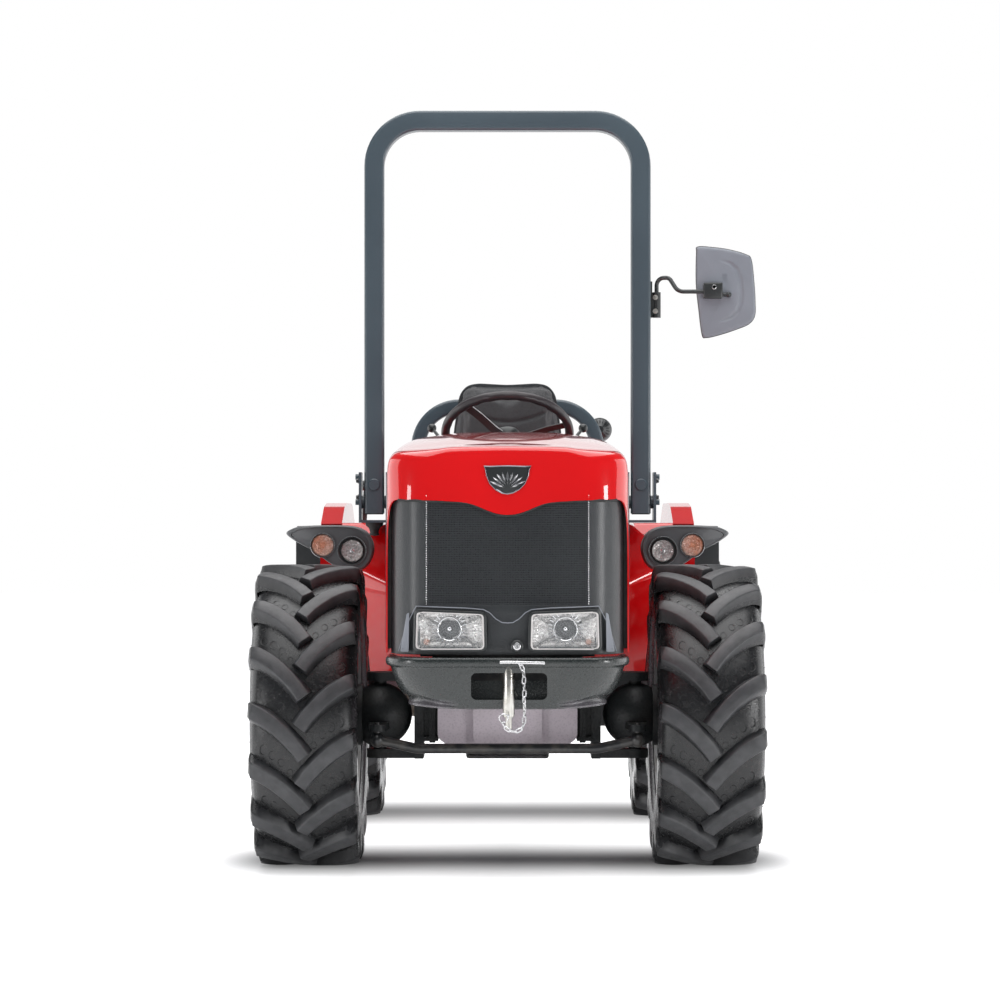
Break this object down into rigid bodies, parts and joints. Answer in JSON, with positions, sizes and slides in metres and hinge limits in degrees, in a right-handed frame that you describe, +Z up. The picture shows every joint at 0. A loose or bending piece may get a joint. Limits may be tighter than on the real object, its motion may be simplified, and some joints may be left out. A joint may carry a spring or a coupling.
{
  "type": "compact tractor",
  "caption": "Narrow four-wheel farm tractor with equal wheels, a low sloping bonnet, a folding front roll bar, one mirror and a rear three-point linkage.",
  "frame": {"origin": "on the ground under the middle of the tractor's length, on its centre plane", "axes": "+X to the driver's left, +Y rearwards, +Z up; the tractor drives towards -Y"},
  "size_m": [1.4618, 3.04, 2.227],
  "materials": {
    "tyre_rubber": "worn matt",
    "rim_paint": "satin",
    "black_iron": "rough painted",
    "grey_paint": "satin",
    "black_steel": "satin",
    "zinc": "zinc plated",
    "red_paint": "gloss",
    "black_plastic": "fine grain",
    "pod_plastic": "satin",
    "lamp_glass": "clear",
    "lamp_plastic": "clear and amber lenses",
    "red_lens": "ribbed lens",
    "bar_paint": "satin",
    "vinyl": "grained vinyl",
    "hot_steel": "dull"
  },
  "bodies": {
    "chassis": {"front_frame": "black_iron", "engine_block": "grey_paint", "radiator": "black_steel", "gearbox": "grey_paint", "rear_axle": "grey_paint", "front_differential": "grey_paint", "front_axle_beam": "black_iron", "belly_plate": "black_steel", "bumper": "black_iron", "tow_pin": "zinc", "platform": "red_paint", "seat_deck": "red_paint", "fender_left": "red_paint", "fender_right": "red_paint", "fender_flares": "black_plastic", "light_pods": "pod_plastic", "front_lamps": "lamp_plastic", "rear_hoop": "bar_paint", "work_lamp": "black_plastic", "dashboard": "black_plastic", "levers": "black_steel", "pedals": "black_steel", "seat_base": "black_plastic", "seat_cushion": "vinyl", "seat_back": "vinyl", "fuel_tank": "black_steel", "exhaust": "hot_steel", "steps": "black_steel", "rear_lamps": "red_lens", "roll_bar_mount": "bar_paint", "link_brackets": "black_steel", "lift_cover": "grey_paint", "pto": "black_steel", "tow_hitch": "black_steel"},
    "left_knuckle": {"left_knuckle": "black_iron"},
    "right_knuckle": {"right_knuckle": "black_iron"},
    "tie_rod": {"tie_rod": "black_steel"},
    "steering_wheel": {"steering_wheel": "black_plastic"},
    "front_left_wheel": {"front_left_tyre": "tyre_rubber", "front_left_rim": "rim_paint"},
    "front_right_wheel": {"front_right_tyre": "tyre_rubber", "front_right_rim": "rim_paint"},
    "rear_left_wheel": {"rear_left_tyre": "tyre_rubber", "rear_left_rim": "rim_paint"},
    "rear_right_wheel": {"rear_right_tyre": "tyre_rubber", "rear_right_rim": "rim_paint"},
    "hood": {"hood": "red_paint", "grille": "black_plastic", "headlight_bezel": "black_plastic", "headlights": "lamp_glass"},
    "roll_bar": {"roll_bar": "bar_paint", "mirror_arm": "black_plastic", "mirror_head": "black_plastic"},
    "lift_arms": {"lift_arms": "black_steel"},
    "lift_rods": {"lift_rods": "zinc"},
    "lower_links": {"lower_links": "black_steel"},
    "top_link": {"top_link": "zinc"}
  },
  "joints": [
    {"name": "left_steer", "type": "hinge", "parent": "chassis", "child": "left_knuckle", "pos_m": [0.36, -0.72, 0.425], "axis": [0, 0, 1], "range_deg": [-35, 35]},
    {"name": "right_steer", "type": "hinge", "parent": "chassis", "child": "right_knuckle", "pos_m": [-0.36, -0.72, 0.425], "axis": [0, 0, 1], "range_deg": [-35, 35]},
    {"name": "tie_rod_pivot", "type": "hinge", "parent": "left_knuckle", "child": "tie_rod", "pos_m": [0.36, -0.91, 0.4], "axis": [0, 0, 1], "range_deg": [-35, 35]},
    {"name": "steering_turn", "type": "hinge", "parent": "chassis", "child": "steering_wheel", "pos_m": [0, 0.27, 1.25], "axis": [0, 0.5736, 0.8192], "range_deg": [-560, 560]},
    {"name": "front_left_roll", "type": "hinge", "parent": "left_knuckle", "child": "front_left_wheel", "pos_m": [0.5555, -0.72, 0.425], "axis": [1, 0, 0], "continuous": true},
    {"name": "front_right_roll", "type": "hinge", "parent": "right_knuckle", "child": "front_right_wheel", "pos_m": [-0.5555, -0.72, 0.425], "axis": [1, 0, 0], "continuous": true},
    {"name": "rear_left_roll", "type": "hinge", "parent": "chassis", "child": "rear_left_wheel", "pos_m": [0.5555, 0.67, 0.425], "axis": [1, 0, 0], "continuous": true},
    {"name": "rear_right_roll", "type": "hinge", "parent": "chassis", "child": "rear_right_wheel", "pos_m": [-0.5555, 0.67, 0.425], "axis": [1, 0, 0], "continuous": true},
    {"name": "hood_open", "type": "hinge", "parent": "chassis", "child": "hood", "pos_m": [0, -0.07, 1.218], "axis": [-1, 0, 0], "range_deg": [0, 60]},
    {"name": "roll_bar_fold", "type": "hinge", "parent": "chassis", "child": "roll_bar", "pos_m": [0, -0.02, 1.03], "axis": [-1, 0, 0], "range_deg": [-80, 0]},
    {"name": "lift", "type": "hinge", "parent": "chassis", "child": "lift_arms", "pos_m": [0, 0.88, 0.56], "axis": [1, 0, 0], "range_deg": [-12, 31]},
    {"name": "link_pivot", "type": "hinge", "parent": "chassis", "child": "lower_links", "pos_m": [0, 0.8, 0.33], "axis": [1, 0, 0], "range_deg": [-12, 24]},
    {"name": "lift_rod_pivot", "type": "hinge", "parent": "lift_arms", "child": "lift_rods", "pos_m": [0, 1.07, 0.55], "axis": [1, 0, 0], "range_deg": [-40, 20]},
    {"name": "top_link_pivot", "type": "hinge", "parent": "chassis", "child": "top_link", "pos_m": [0, 0.962, 0.58], "axis": [1, 0, 0], "range_deg": [-25, 25]}
  ],
  "couplings": [
    {"joint": "right_steer", "follows": "left_steer", "ratio": 1},
    {"joint": "tie_rod_pivot", "follows": "left_steer", "ratio": -1},
    {"joint": "steering_turn", "follows": "left_steer", "ratio": 16},
    {"joint": "link_pivot", "follows": "lift", "ratio": 0.648},
    {"joint": "lift_rod_pivot", "follows": "lift", "ratio": -1.08}
  ]
}
